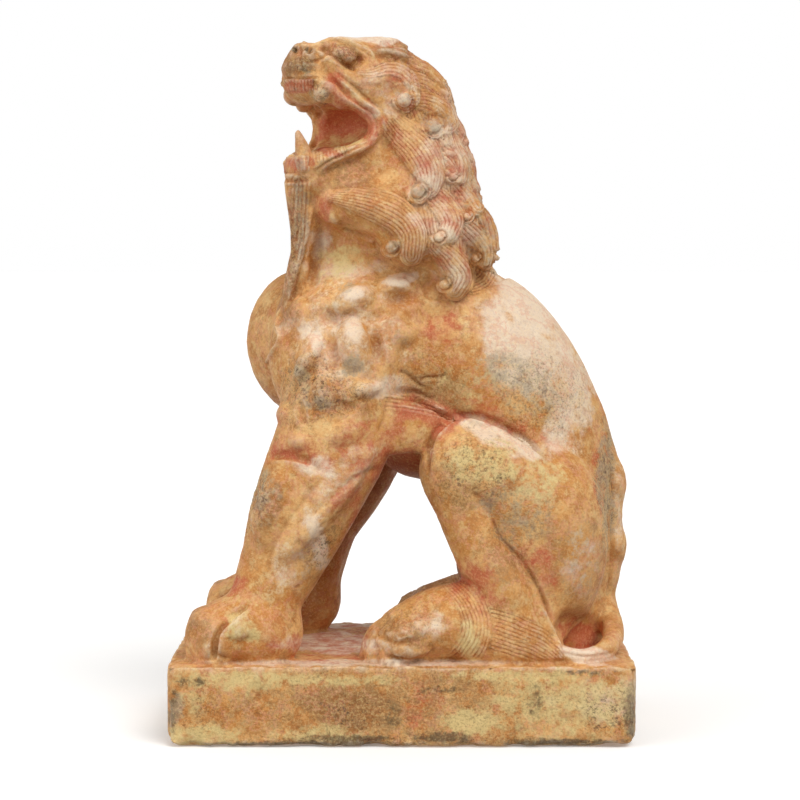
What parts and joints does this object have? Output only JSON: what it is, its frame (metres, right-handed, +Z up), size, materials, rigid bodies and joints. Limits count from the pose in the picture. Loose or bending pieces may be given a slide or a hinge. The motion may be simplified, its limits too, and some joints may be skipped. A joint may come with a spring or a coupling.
{
  "type": "seated guardian lion figure",
  "caption": "Small marble guardian lion seated on its haunches, head turned and mouth open, carved in one block with its low rectangular plinth.",
  "frame": {"origin": "middle of the plinth's underside", "axes": "+Z up; -X is the way the lion's breast and forepaws face; -Y is the flank towards which the head is turned"},
  "size_m": [0.2648, 0.151, 0.4015],
  "materials": {
    "marble": "worn carved marble with ochre staining and traces of red pigment"
  },
  "bodies": {
    "root": {"marble_lion": "marble"}
  },
  "joints": []
}
